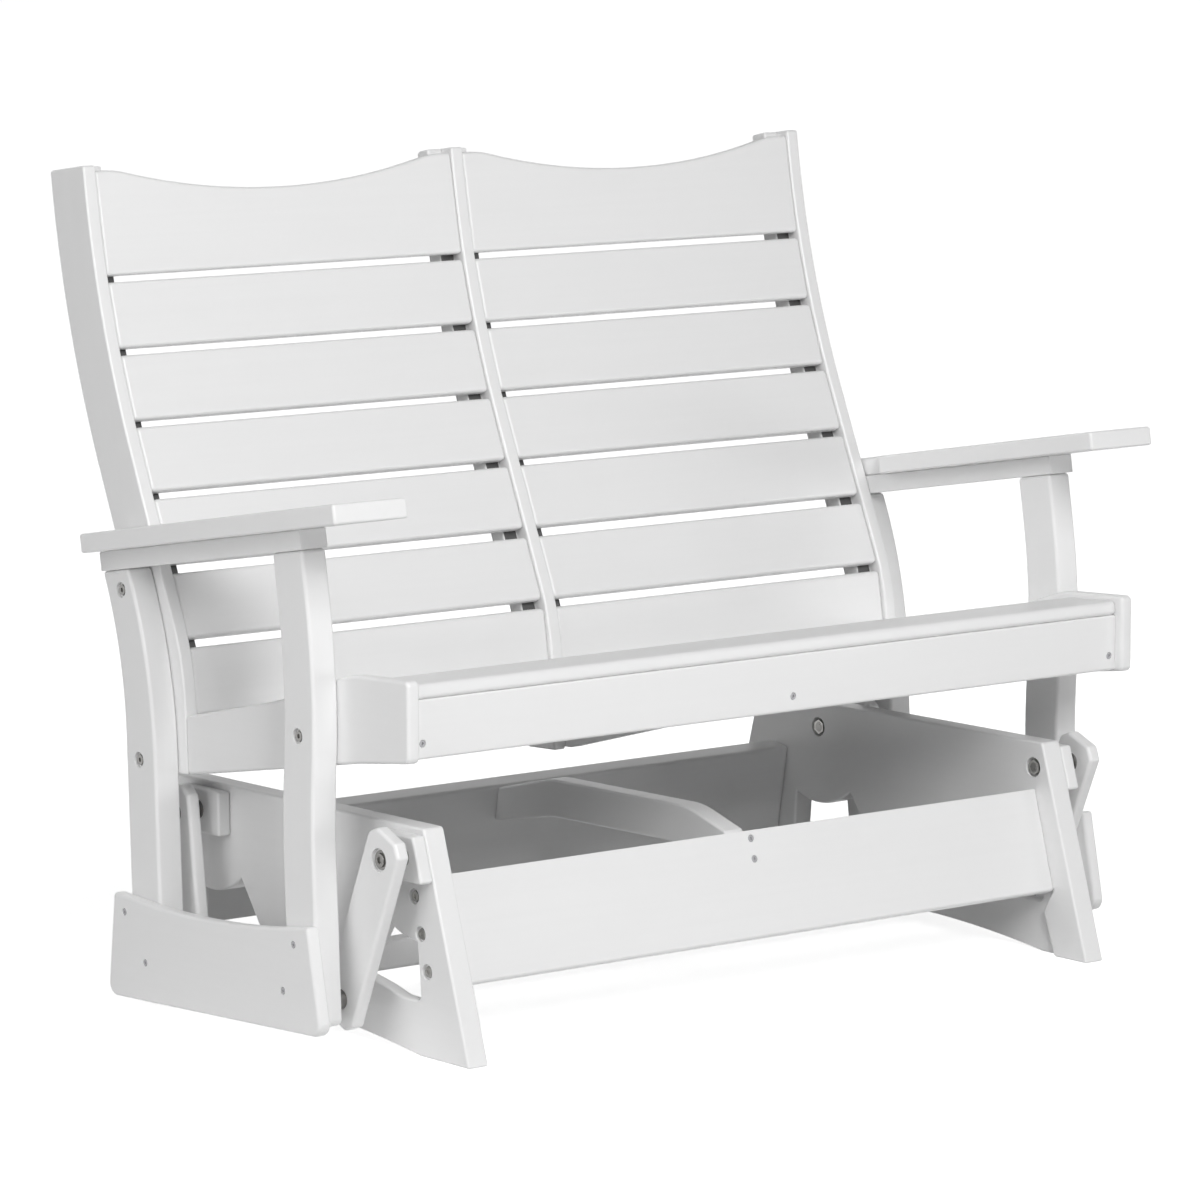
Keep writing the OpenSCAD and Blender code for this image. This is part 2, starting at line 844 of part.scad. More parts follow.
module back_slats(k) {
  color("white")
    seat_frame()
      for (s = [-1, 1])
        side(s)
          board(slat_in, x_board)
            outline(
              [row_pt(k, -row_half(k), 0), row_pt(k, -row_half(k), board_thick),
                row_pt(k, row_half(k), board_thick), row_pt(k, row_half(k), 0)],
              [3, 0, 0, 3]
            );
}

// Top slats: a shallow scoop with soft shoulders in each half
scoop_mid = (slat_in + x_board) / 2;
scoop_lean = 14;
scoop_r = 1010;
scoop_fall = scoop_depth + scoop_r * (1 / cos(scoop_lean) - 1);
scoop_shoulder = scoop_fall / tan(scoop_lean);

module top_slats() {
  h = top_slat_wide / 2;
  color("white")
    seat_frame()
      for (s = [-1, 1])
        side(s)
          row_frame(6)
            translate([0, board_thick, 0])
              rotate([90, 0, 0])
                linear_extrude(height = board_thick)
                  soft_outline(
                    [[slat_in, -h], [x_board, -h], [x_board, h],
                      [scoop_mid + scoop_shoulder, h], [scoop_mid, h - scoop_fall],
                      [scoop_mid - scoop_shoulder, h], [slat_in, h]],
                    [0, 0, 0, 110, scoop_r, 110, 0]
                  );
}

// Strips on the posts behind the slat ends, standing a little above the top slats
strip_proud = 7.7;
strip_face = [
  for (k = [0 : 6])
    for (s = [-1, 1])
      row_pt(k, s * (k == 6 && s > 0 ? row_half(k) + strip_proud : row_half(k) - 0.1), board_thick)
];
strip_back = [
  for (k = [6 : -1 : 0])
    for (s = [1, -1])
      row_pt(k, s * (k == 6 && s > 0 ? row_half(k) + strip_proud : row_half(k) - 0.1),
        board_thick + strip_thick)
];

module back_strips() {
  color("gainsboro")
    seat_frame()
      for (s = [-1, 1])
        side(s)
          for (x0 = [slat_in, x_board - strip_wide])
            board(x0, x0 + strip_wide)
              polygon(concat(strip_back, strip_face));
}

// Armrest plane: its origin lies on the underside of the armrest
arm_rest_ref = [-31.3, 633.7];
function arm_plane(v, w) =
  arm_rest_ref + v * [cos(armrest_slope), -sin(armrest_slope)]
  + w * [sin(armrest_slope), cos(armrest_slope)];
function arm_plane_z(y, w) =
  arm_rest_ref[1] + w / cos(armrest_slope) - (y - arm_rest_ref[0]) * tan(armrest_slope);

// Arm posts
post_low = 30;
module arm_post_front_outline() {
  soft_outline(
    [[-186.5, post_low], [-121, post_low], [-121, 290], [-139, 460],
      [-119.5, arm_plane_z(-119.5, -arm_board_thick)],
      [-183, arm_plane_z(-183, -arm_board_thick)], [-203, 460], [-186.5, 290]],
    [10, 10, 1000, 861, 0, 0, 925, 1000]
  );
}

module arm_post_rear_outline() {
  soft_outline(
    [[154, post_low], [220, post_low], [220, 473],
      [259.5, arm_plane_z(259.5, -arm_board_thick)],
      [201, arm_plane_z(201, -arm_board_thick)], [154, 460.8]],
    [10, 10, 560, 0, 0, 626]
  );
}

module arm_post(s, rear) {
  pivot = rear ? seat_pivot_rear : seat_pivot_front;
  color("whitesmoke")
    seat_frame()
      side(s)
        difference() {
          board(x_seat, x_post)
            if (rear) arm_post_rear_outline();
            else arm_post_front_outline();
          pin(pivot, x_seat - 1, x_post + 1, low_bolt_r + hole_gap);
          pin(pivot, x_post - head_high - 1.2, x_post + 1, arm_recess_r);
          for (p = post_points) {
            pin(p, x_seat - 1, x_post + 1, bolt_r + hole_gap);
            pin(p, x_post - bolt_recess_deep, x_post + 1, bolt_recess_r);
          }
          for (q = plate_marks)
            pin(q, x_post - plate_screw_len, x_post + 1, screw_r + hole_gap);
        }
}

module post_bolts() {
  color("silver")
    seat_frame()
      for (s = [-1, 1])
        for (p = post_points)
          side(s)
            small_bolt(p, x_board + 5, x_post - bolt_recess_deep);
}

// Lower side plates, their top edge dished
plate_marks = [[207.9, 137.5], [-164.7, 136.8], [164.4, 76.1], [-139.4, 76.1]];
plate_screw_len = 20;

module lower_plate(s) {
  color("whitesmoke")
    seat_frame()
      side(s)
        difference() {
          board(x_post, x_plate)
            soft_outline(
              [[-217.6, 25], [253.2, 25], [232, 161.5], [18, 133.7], [-196, 161.5]],
              [16, 16, 0, 1640, 0]
            );
          for (q = plate_marks) {
            pin(q, x_post - 1, x_plate + 1, screw_r + hole_gap);
            pin(q, x_plate - 2.6, x_plate + 1, screw_head_r + hole_gap);
          }
        }
}

module plate_screws() {
  color("dimgray")
    seat_frame()
      for (s = [-1, 1])
        for (q = plate_marks)
          side(s)
            difference() {
              union() {
                pin(q, x_post - plate_screw_len + 2, x_plate - 2, screw_r);
                pin(q, x_plate - 2.6, x_plate - 0.6, screw_head_r);
              }
              translate([x_plate - 1.6, q[0], q[1]])
                rotate([0, 90, 0])
                  cylinder(h = 3, r = 1.8, $fn = 6);
            }
}

// Support boards under the armrests
module arm_support(s) {
  color("white")
    seat_frame()
      side(s)
        board(x_seat, x_seat + arm_support_wide)
          polygon([
            arm_plane(-154, -arm_board_thick), arm_plane(294, -arm_board_thick),
            arm_plane(294, 0), arm_plane(-154, 0)
          ]);
}

armrest_in = x_seat - 36;
armrest_front = -278.2;
armrest_rear = 284.7;

module armrest(s) {
  x1 = armrest_in + armrest_wide;
  color("white")
    seat_frame()
      side(s)
        translate([0, arm_rest_ref[0], arm_rest_ref[1]])
          rotate([-armrest_slope, 0, 0])
            linear_extrude(height = arm_board_thick)
              outline(
                [[armrest_in, armrest_front], [x1, armrest_front], [x1, armrest_rear],
                  [x_seat + 2, armrest_rear], [x_seat + 2, 202], [armrest_in, 158]],
                [armrest_corner, armrest_corner, armrest_corner, 4, 0, 12]
              );
}

// Lower pivots: the bolts are fixed in the arm posts
module lower_pivot_bolts() {
  color("silver")
    seat_frame()
      for (s = [-1, 1])
        for (p = [seat_pivot_front, seat_pivot_rear])
          side(s)
            difference() {
              union() {
                pin(p, x_arm + 0.5, x_post - head_high, low_bolt_r);
                pin(p, x_post - head_high - 0.2, x_post - 0.4, head_r);
                pin(p, x_post - head_high - 1.2, x_post - head_high, head_r + 3);
              }
              translate([x_post - 2.6, p[0], p[1]])
                rotate([0, 90, 0])
                  cylinder(h = 3, r = 4, $fn = 6);
            }
}

module lower_spacers() {
  color("silver")
    seat_frame()
      for (s = [-1, 1])
        for (p = [seat_pivot_front, seat_pivot_rear])
          side(s)
            difference() {
              pin(p, x_arm_out + 0.3, x_seat, spacer_r);
              pin(p, x_arm_out - 1, x_seat + 1, low_bolt_r + hole_gap);
            }
}

module lower_pivot_nuts() {
  color("silver")
    seat_frame()
      for (s = [-1, 1])
        for (p = [seat_pivot_front, seat_pivot_rear])
          side(s)
            difference() {
              union() {
                translate([x_arm + 0.8, p[0], p[1]])
                  rotate([0, 90, 0])
                    cylinder(h = 3, r = 8.6, $fn = 6);
                pin(p, x_arm + 3.7, x_arm + arm_recess_deep - 0.3, 11.5);
              }
              pin(p, x_arm - 1, x_arm + 8, low_bolt_r + 0.05);
            }
}

end_frame(-1);  // end_frame_left
end_frame(1);  // end_frame_right
front_rail();
rear_rail();
centre_brace();
lower_stretcher();
pivot_block(-1, false);  // pivot_block_front_left
pivot_block(1, false);  // pivot_block_front_right
pivot_block(-1, true);  // pivot_block_rear_left
pivot_block(1, true);  // pivot_block_rear_right
upper_spacers();
upper_pivot_bolts();
upper_pivot_nuts();
rail_bolts();
brace_screws();
swing_arm(-1, pivot_front, front_swing);  // swing_arm_front_left
swing_arm(1, pivot_front, front_swing);  // swing_arm_front_right
swing_arm(-1, pivot_rear, rear_swing);  // swing_arm_rear_left
swing_arm(1, pivot_rear, rear_swing);  // swing_arm_rear_right
bushes(-1, pivot_front, front_swing, run_clear);  // bushes_front_left
bushes(1, pivot_front, front_swing, run_clear);  // bushes_front_right
bushes(-1, pivot_rear, rear_swing, free_clear);  // bushes_rear_left
bushes(1, pivot_rear, rear_swing, free_clear);  // bushes_rear_right
side_board(-1);  // side_board_left
side_board(1);  // side_board_right
centre_support();
seat_strips();
front_apron();
seat_slat(0);  // seat_slat_1
seat_slat(1);  // seat_slat_2
seat_slat(2);  // seat_slat_3
seat_slat(3);  // seat_slat_4
seat_slat(4);  // seat_slat_5
back_post(-x_seat, 315, -1);  // back_post_left
back_post(-board_thick / 2, 285, 0);  // back_post_centre
back_post(x_board, 315, 1);  // back_post_right
back_slats(0);  // back_slats_1
back_slats(1);  // back_slats_2
back_slats(2);  // back_slats_3
back_slats(3);  // back_slats_4
back_slats(4);  // back_slats_5
back_slats(5);  // back_slats_6
top_slats();
back_strips();
arm_post(-1, false);  // arm_post_front_left
arm_post(1, false);  // arm_post_front_right
arm_post(-1, true);  // arm_post_rear_left
arm_post(1, true);  // arm_post_rear_right
lower_plate(-1);  // lower_plate_left
lower_plate(1);  // lower_plate_right
arm_support(-1);  // arm_support_left
arm_support(1);  // arm_support_right
armrest(-1);  // armrest_left
armrest(1);  // armrest_right
post_bolts();
plate_screws();
apron_screws();
lower_pivot_bolts();
lower_spacers();
lower_pivot_nuts();
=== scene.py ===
"""Glider bench for the porch: eased board edges, board and metal finishes, light and camera."""

import json
import math

import bmesh
import bpy
from mathutils import Matrix, Vector


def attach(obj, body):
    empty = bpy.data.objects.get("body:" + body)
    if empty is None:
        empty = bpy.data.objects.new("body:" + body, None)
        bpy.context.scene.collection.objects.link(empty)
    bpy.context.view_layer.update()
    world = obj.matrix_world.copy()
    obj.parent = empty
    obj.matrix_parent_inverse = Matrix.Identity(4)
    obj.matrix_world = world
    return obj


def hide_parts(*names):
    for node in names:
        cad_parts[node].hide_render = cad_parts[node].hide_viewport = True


bl_info = {
    "name": "Glider bench",
    "version": (1, 0, 0),
    "blender": (4, 5, 0),
    "location": "View3D > Sidebar > Bench",
    "description": "Dresses the glider bench: eased boards, board and metal finishes, a stage",
    "category": "Object",
}

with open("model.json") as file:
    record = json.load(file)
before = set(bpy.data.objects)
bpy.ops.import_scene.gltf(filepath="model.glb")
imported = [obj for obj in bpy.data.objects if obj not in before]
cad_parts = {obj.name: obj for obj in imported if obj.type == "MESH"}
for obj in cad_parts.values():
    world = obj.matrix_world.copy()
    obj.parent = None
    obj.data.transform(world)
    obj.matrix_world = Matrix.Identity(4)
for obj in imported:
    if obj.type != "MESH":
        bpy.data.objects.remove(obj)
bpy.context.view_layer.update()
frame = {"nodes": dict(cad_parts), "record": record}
NODES = frame["nodes"]
BODY_OF = {
    node: body
    for body, members in frame["record"]["behaviour"]["bodies"].items()
    for node in members
}
MM = 0.001

# Which way each board was extruded or cut, as a direction along the board
ALONG = (1.0, 0.0, 0.0)
DEEP = (0.0, 1.0, 0.0)
UPRIGHT = (0.0, 0.0, 1.0)
LEANING = (0.0, 0.21, 0.978)
FRONT_ARM = (0.0, 0.396, -0.918)
REAR_ARM = (0.0, -0.125, -0.992)

BASE_BOARDS = {
    "end_frame_left": DEEP,
    "end_frame_right": DEEP,
    "front_rail": ALONG,
    "rear_rail": ALONG,
    "centre_brace": DEEP,
    "lower_stretcher": ALONG,
    "pivot_block_front_left": UPRIGHT,
    "pivot_block_front_right": UPRIGHT,
    "pivot_block_rear_left": UPRIGHT,
    "pivot_block_rear_right": UPRIGHT,
}
ARM_BOARDS = {
    "swing_arm_front_left": FRONT_ARM,
    "swing_arm_front_right": FRONT_ARM,
    "swing_arm_rear_left": REAR_ARM,
    "swing_arm_rear_right": REAR_ARM,
}
SEAT_BOARDS = {
    "side_board_left": DEEP,
    "side_board_right": DEEP,
    "centre_support": DEEP,
    "seat_strips": DEEP,
    "front_apron": ALONG,
}
# Slats are plain lengths of board, with straight edges all round
SEAT_SLATS = ("seat_slat_1", "seat_slat_2", "seat_slat_3", "seat_slat_4", "seat_slat_5")
BACK_SLATS = (
    "back_slats_1",
    "back_slats_2",
    "back_slats_3",
    "back_slats_4",
    "back_slats_5",
    "back_slats_6",
)
BACK_BOARDS = {
    "back_post_left": LEANING,
    "back_post_centre": LEANING,
    "back_post_right": LEANING,
    "top_slats": ALONG,
    "back_strips": LEANING,
}
ARMREST_BOARDS = {
    "arm_post_front_left": UPRIGHT,
    "arm_post_front_right": UPRIGHT,
    "arm_post_rear_left": UPRIGHT,
    "arm_post_rear_right": UPRIGHT,
    "lower_plate_left": DEEP,
    "lower_plate_right": DEEP,
    "arm_support_left": DEEP,
    "arm_support_right": DEEP,
    "armrest_left": DEEP,
    "armrest_right": DEEP,
}
# Edge radius in mm of boards whose corners are too tight for the usual radius
TIGHT_EDGES = {
    "end_frame_left": 3.5,
    "end_frame_right": 3.5,
    "centre_brace": 3.5,
    "pivot_block_front_left": 3.5,
    "pivot_block_front_right": 3.5,
    "pivot_block_rear_left": 3.5,
    "pivot_block_rear_right": 3.5,
    "centre_support": 2.0,
    "seat_strips": 2.0,
    "front_apron": 3.0,
    "back_post_left": 3.0,
    "back_post_centre": 3.0,
    "back_post_right": 3.0,
    "back_strips": 3.0,
    "arm_support_left": 1.8,
    "arm_support_right": 1.8,
    "armrest_left": 3.5,
    "armrest_right": 3.5,
}
SLAT_EDGE = 6.0  # edge radius of the slats in mm
# Radius in mm of the upper front edge of slats that are rounder there
FULL_NOSES = {"seat_slat_1": 9.0}
CLOSE_POINTS = 0.4  # outline points of a board closer than this in mm are one corner
# The same for boards whose outline has longer edges that aren't real
CLOSE_POINTS_OF = {
    "top_slats": 2.2,
    "end_frame_left": 0.9,
    "end_frame_right": 0.9,
    "lower_plate_right": 0.9,
}
# These stainless parts get a darkened copy of the steel colour: painted shade and painted dark
# reflection for bolts and spacers in their recesses and gaps
PIVOT_STEEL = (
    "upper_spacers",
    "upper_pivot_bolts",
    "post_bolts",
    "lower_pivot_bolts",
    "lower_spacers",
)
# The same stainless steel in a lighter copy for the nuts and rail bolts, not a different finish
LIGHTER_STEEL_COPY = ("upper_pivot_nuts", "rail_bolts", "lower_pivot_nuts")
# Boards whose fronts get painted shade: dark grey below the slat tops, for the shade in the slots
# between the slats
SLOT_SHADE_BOARDS = ("back_strips",)
SLOT_SHADE_TOP = 1000 * MM  # height above which the painted slot shade stops
SLOT_SHADE_FADE = 10 * MM  # height over which the painted slot shade fades out
FORWARD = (0.0, -1.0, 0.0)
FRONT_FACING = (0.8, 0.86)  # how far forward a face looks where the painted slot shade begins and is full
COATED_SCREWS = ("brace_screws", "plate_screws", "apron_screws")
PIVOT_BUSHES = (
    "bushes_front_left",
    "bushes_front_right",
    "bushes_rear_left",
    "bushes_rear_right",
)

DOUBLED = 0.02 * MM  # corner points of a solid closer than this are the same point
SLIVER = 0.01 * MM  # edges shorter than this are dropped
FLAT = math.radians(0.5)  # faces that turn less than this are one face
CORNER = math.radians(25)  # outer edges that turn more than this are rolled over
CREASE = math.radians(38)  # edges that turn more than this stay sharp in the shading
SQUARE = math.radians(60)  # edges of a slat that turn more than this aren't rolled over yet
HOLE_SIZE = 17 * MM  # runs of edges that reach less far than this go round a hole
RIM_MARGIN = 0.8 * MM  # least flat width between a rolled edge and the rim of a hole
EDGE_STEPS = 4  # facets across a rolled edge
RIM_STEPS = 2  # facets across the rim of a hole
NOSE_STEPS = 6  # facets across a full nose

NOISE_SPAN = (0.3, 0.7)  # where most of a noise lies
MIXED_SPAN = (0.36, 0.62)  # where most of the mix of streaks and clouds lies
STREAK_SHARE = 0.6  # share of the streaks in that mix
SKIN_WEAR = (-0.05, 0.08)  # how the roughness of a board skin varies round its setting

WHITE = (1.0, 1.0, 1.0, 1.0)
# Place and size in m of each lamp; its power is the setting of the same name
LAMPS = {
    "key_lamp": ((-2.2, -4.8, 3.0), (1.4, 1.4)),
    "left_lamp": ((-5.6, -0.4, 1.8), (3.0, 3.0)),
    "low_right_lamp": ((3.6, -4.6, 0.5), (2.5, 0.9)),
    "high_left_lamp": ((-4.4, -1.6, 3.8), (2.5, 2.5)),
    "high_front_lamp": ((-1.0, -4.2, 4.2), (3.0, 2.0)),
}
LAMP_AIM = (0.0, 0.0, 0.5)  # the middle of the bench, in m
SENSOR_WIDTH = 36.0  # in mm
VIEW_END = 100.0  # furthest distance that the camera sees, in m
FLOOR_REACH = 30.0  # half the width of the floor, in m
FLOOR_DROP = 0.2 * MM  # gap that keeps the floor off the feet
SHADOW_EDGE = (0.9, 1.6)  # distances in m over which the floor goes from shaded to plain white
FLOOR_GLOW = (0.8, 1.0)  # what the floor gives off to the eye, near and far


def linear(hex_colour):
    """An sRGB hex colour as linear red, green, blue and alpha."""
    parts = [int(hex_colour[i : i + 2], 16) / 255 for i in (0, 2, 4)]
    flat = [p / 12.92 if p <= 0.04045 else ((p + 0.055) / 1.055) ** 2.4 for p in parts]
    return (*flat, 1.0)


class BoardFinish(bpy.types.PropertyGroup):
    """Colour, gloss and edges of the boards."""

    colour: bpy.props.FloatVectorProperty(
        name="Board colour",
        description="Colour of the solid-coloured boards",
        subtype="COLOR",
        size=4,
        min=0.0,
        max=1.0,
        default=linear("F1F1F1"),
    )
    streak_colour: bpy.props.FloatVectorProperty(
        name="Streak colour",
        description="Colour of the faint streaks that extrusion leaves along a board",
        subtype="COLOR",
        size=4,
        min=0.0,
        max=1.0,
        default=linear("F0F0F0"),
    )
    # Painted shade: the dark grey put on the fronts of the back strips for the shade in the slots
    # between the slats, not a colour of the board
    slot_shade_colour: bpy.props.FloatVectorProperty(
        name="Core colour",
        description="Colour of the recycled core that a saw lays bare",
        subtype="COLOR",
        size=4,
        min=0.0,
        max=1.0,
        default=linear("545454"),
    )
    roughness: bpy.props.FloatProperty(
        name="Roughness",
        description="Roughness of the board skin",
        min=0.0,
        max=1.0,
        default=0.34,
    )
    ease: bpy.props.FloatProperty(
        name="Eased edge",
        description="Radius that the router leaves on board edges",
        unit="LENGTH",
        min=0.0005,
        max=0.008,
        default=0.005,
    )
    hole_ease: bpy.props.FloatProperty(
        name="Hole edge",
        description="Radius on the rims of drilled holes",
        unit="LENGTH",
        min=0.0001,
        max=0.002,
        default=0.0006,
    )


class MetalFinish(bpy.types.PropertyGroup):
    """Colours and gloss of the bolts, screws and bushes."""

    # Darkened as painted shade and painted dark reflection, not the steel's own tone
    stainless: bpy.props.FloatVectorProperty(
        name="Stainless colour",
        description="Colour of the stainless pivot bolts and spacers",
        subtype="COLOR",
        size=4,
        min=0.0,
        max=1.0,
        default=linear("8F8E8C"),
    )
    # A lighter copy of the same stainless steel, not a brighter finish
    bright: bpy.props.FloatVectorProperty(
        name="Bright stainless colour",
        description="Colour of the lock nuts and rail bolts",
        subtype="COLOR",
        size=4,
        min=0.0,
        max=1.0,
        default=linear("B6B5B2"),
    )
    screw: bpy.props.FloatVectorProperty(
        name="Screw colour",
        description="Colour of the coated screws",
        subtype="COLOR",
        size=4,
        min=0.0,
        max=1.0,
        default=linear("A0A0A2"),
    )
    bush: bpy.props.FloatVectorProperty(
        name="Bush colour",
        description="Colour of the moulded pivot bushes",
        subtype="COLOR",
        size=4,
        min=0.0,
        max=1.0,
        default=linear("C9C4B6"),
    )
    ease: bpy.props.FloatProperty(
        name="Metal edge",
        description="Radius on the edges of bolt heads, nuts and bushes",
        unit="LENGTH",
        min=0.0001,
        max=0.001,
        default=0.0004,
    )


class StageSetup(bpy.types.PropertyGroup):
    """Camera, lamps and floor."""

    lens: bpy.props.FloatProperty(
        name="Lens",
        description="Focal length of the camera",
        subtype="DISTANCE_CAMERA",
        default=176.9,
    )
    azimuth: bpy.props.FloatProperty(
        name="Camera azimuth",
        description="Turn of the camera round the bench, from straight in front",
        subtype="ANGLE",
        default=math.radians(-38.52),
    )
    elevation: bpy.props.FloatProperty(
        name="Camera elevation",
        description="Height of the camera above the horizon",
        subtype="ANGLE",
        default=math.radians(7.90),
    )
    roll: bpy.props.FloatProperty(
        name="Camera roll",
        description="Roll of the camera about its line of sight",
        subtype="ANGLE",
        default=math.radians(-0.14),
    )
    distance: bpy.props.FloatProperty(
        name="Camera distance",
        description="Distance of the camera from the point it looks at",
        unit="LENGTH",
        default=7.8202,
    )
    target: bpy.props.FloatVectorProperty(
        name="Camera target",
        description="Point that the camera looks at",
        subtype="XYZ",
        unit="LENGTH",
        default=(0.0001, 0.0122, 0.4915),
    )
    dome: bpy.props.FloatProperty(
        name="Dome light",
        description="Strength of the even light from all round",
        min=0.0,
        default=0.02,
    )
    key_lamp: bpy.props.FloatProperty(
        name="Key lamp",
        description="Power of the key lamp, high in front and to the left",
        subtype="POWER",
        min=0.0,
        default=98.0,
    )
    left_lamp: bpy.props.FloatProperty(
        name="Left lamp",
        description="Power of the soft lamp on the left",
        subtype="POWER",
        min=0.0,
        default=73.0,
    )
    low_right_lamp: bpy.props.FloatProperty(
        name="Low right lamp",
        description="Power of the lamp low on the right, which lights the base",
        subtype="POWER",
        min=0.0,
        default=34.0,
    )
    high_left_lamp: bpy.props.FloatProperty(
        name="High left lamp",
        description="Power of the soft lamp high on the left",
        subtype="POWER",
        min=0.0,
        default=26.0,
    )
    high_front_lamp: bpy.props.FloatProperty(
        name="High front lamp",
        description="Power of the soft lamp high in front",
        subtype="POWER",
        min=0.0,
        default=117.0,
    )
    floor_colour: bpy.props.FloatVectorProperty(
        name="Floor colour",
        description="Colour of the plain pale floor",
        subtype="COLOR",
        size=4,
        min=0.0,
        max=1.0,
        default=linear("EDEDED"),
    )


def add(tree, kind, inputs=None, **settings):
    """Adds a node with its settings, and gives each input a value or a link."""
    made = tree.nodes.new(kind)
    for name, value in settings.items():
        setattr(made, name, value)
    for name, value in (inputs or {}).items():
        if isinstance(value, bpy.types.NodeSocket):
            tree.links.new(value, made.inputs[name])
        else:
            made.inputs[name].default_value = value
    return made


def new_tree(name):
    """An empty material and its node tree."""
    material = bpy.data.materials.new(name)
    material.use_nodes = True
    material.node_tree.nodes.clear()
    return material, material.node_tree


def noise(tree, grain, cell, detail, roughness=0.5):
    """Noise in cells of the given length and width in mm, along and across the grain."""
    length, width = cell
    turn = Vector(grain).rotation_difference(Vector(ALONG)).to_euler()
    place = add(tree, "ShaderNodeTexCoord").outputs["Object"]
    turned = add(tree, "ShaderNodeMapping", {"Vector": place, "Rotation": turn}).outputs[0]
    cells = (1 / (length * MM), 1 / (width * MM), 1 / (width * MM))
    scaled = add(tree, "ShaderNodeMapping", {"Vector": turned, "Scale": cells}).outputs[0]
    inputs = {"Vector": scaled, "Scale": 1.0, "Detail": detail, "Roughness": roughness}
    return add(tree, "ShaderNodeTexNoise", inputs).outputs["Fac"]


def calc(tree, operation, *values):
    """One step of arithmetic on numbers or links."""
    return add(tree, "ShaderNodeMath", dict(enumerate(values)), operation=operation).outputs[0]


def spread(tree, value, span, result=(0.0, 1.0)):
    """Stretches a span of values over the result and holds the rest at its ends."""
    inputs = {"Value": value, "From Min": span[0], "From Max": span[1]}
    inputs |= {"To Min": result[0], "To Max": result[1]}
    return add(tree, "ShaderNodeMapRange", inputs).outputs[0]


def blend(tree, share, first, second):
    """Goes from the first colour to the second with the share."""
    inputs = {"Factor": share, 6: first, 7: second}
    return add(tree, "ShaderNodeMix", inputs, data_type="RGBA").outputs[2]


def bump(tree, height, strength, depth, under=None):
    """Relief of the given depth in mm, on top of the relief under it."""
    inputs = {"Height": height, "Strength": strength, "Distance": depth * MM}
    if under is not None:
        inputs["Normal"] = under
    return add(tree, "ShaderNodeBump", inputs).outputs[0]


def principled(tree, inputs):
    """Ends a material in one principled shader."""
    shader = add(tree, "ShaderNodeBsdfPrincipled", inputs)
    add(tree, "ShaderNodeOutputMaterial", {"Surface": shader.outputs[0]})


def darker(colour, share):
    """A share of a colour, as opaque as ever."""
    return (*(share * part for part in colour[:3]), 1.0)


def painted_slot_shade(tree):
    """1 on the front of a board below the height where the painted slot shade stops, and 0
    elsewhere.
    """
    place = add(tree, "ShaderNodeTexCoord")
    sides = {0: place.outputs["Normal"], 1: FORWARD}
    facing = add(tree, "ShaderNodeVectorMath", sides, operation="DOT_PRODUCT").outputs["Value"]
    height = add(tree, "ShaderNodeSeparateXYZ", {0: place.outputs["Object"]}).outputs["Z"]
    in_slots = spread(tree, height, (SLOT_SHADE_TOP, SLOT_SHADE_TOP + SLOT_SHADE_FADE), (1.0, 0.0))
    return calc(tree, "MULTIPLY", spread(tree, facing, FRONT_FACING), in_slots)


def polyethylene_board(name, grain, slot_shaded):
    """Extruded polyethylene board, coloured right through, with a satin skin.

    The skin is smooth and a little waxy, so highlights are broad. Extrusion leaves long faint
    streaks and fine lines along the board, and cooling leaves a shallow orange peel.
    """
    finish = bpy.context.scene.board_finish
    material, tree = new_tree(name)
    streak = noise(tree, grain, cell=(420, 7), detail=3.0, roughness=0.55)
    lines = noise(tree, grain, cell=(90, 1.4), detail=2.0, roughness=0.6)
    peel = noise(tree, grain, cell=(5, 3.5), detail=1.0)
    cloud = noise(tree, grain, cell=(160, 45), detail=2.0)
    clouds = calc(tree, "MULTIPLY", cloud, 1 - STREAK_SHARE)
    both = calc(tree, "MULTIPLY_ADD", streak, STREAK_SHARE, clouds)
    shade = spread(tree, both, MIXED_SPAN)
    colour = blend(tree, shade, finish.streak_colour, finish.colour)
    # Painted shade: the front below the slat tops goes dark grey, for the shade in the slots
    # between the slats
    if slot_shaded:
        colour = blend(tree, painted_slot_shade(tree), colour, finish.slot_shade_colour)
    gloss = spread(tree, streak, NOISE_SPAN, [finish.roughness + wear for wear in SKIN_WEAR])
    relief = bump(tree, peel, strength=0.35, depth=0.12)
    relief = bump(tree, lines, strength=0.4, depth=0.05, under=relief)
    principled(tree, {"Base Color": colour, "Roughness": gloss, "IOR": 1.54, "Normal": relief})
    return material


def turned_steel(name, colour, roughness, wear):
    """Stainless steel bar, turned: fine tool rings break up the reflections."""
    material, tree = new_tree(name)
    rings = noise(tree, ALONG, cell=(0.6, 6), detail=2.0)
    blotch = noise(tree, ALONG, cell=(6, 6), detail=3.0)
    tint = blend(tree, blotch, darker(colour, share=0.78), colour)
    gloss = spread(tree, blotch, NOISE_SPAN, (roughness, roughness + wear))
    relief = bump(tree, rings, strength=0.5, depth=0.03)
    inputs = {"Base Color": tint, "Metallic": 1.0, "Roughness": gloss, "Normal": relief}
    principled(tree, inputs)
    return material


def moulded_acetal(name, colour):
    """Moulded acetal: a dense, slightly waxy plastic with a fine grain from the mould."""
    material, tree = new_tree(name)
    grain = noise(tree, ALONG, cell=(1.2, 1.2), detail=2.0)
    tint = blend(tree, grain, darker(colour, share=0.88), colour)
    relief = bump(tree, grain, strength=0.3, depth=0.05)
    principled(tree, {"Base Color": tint, "Roughness": 0.38, "IOR": 1.48, "Normal": relief})
    return material


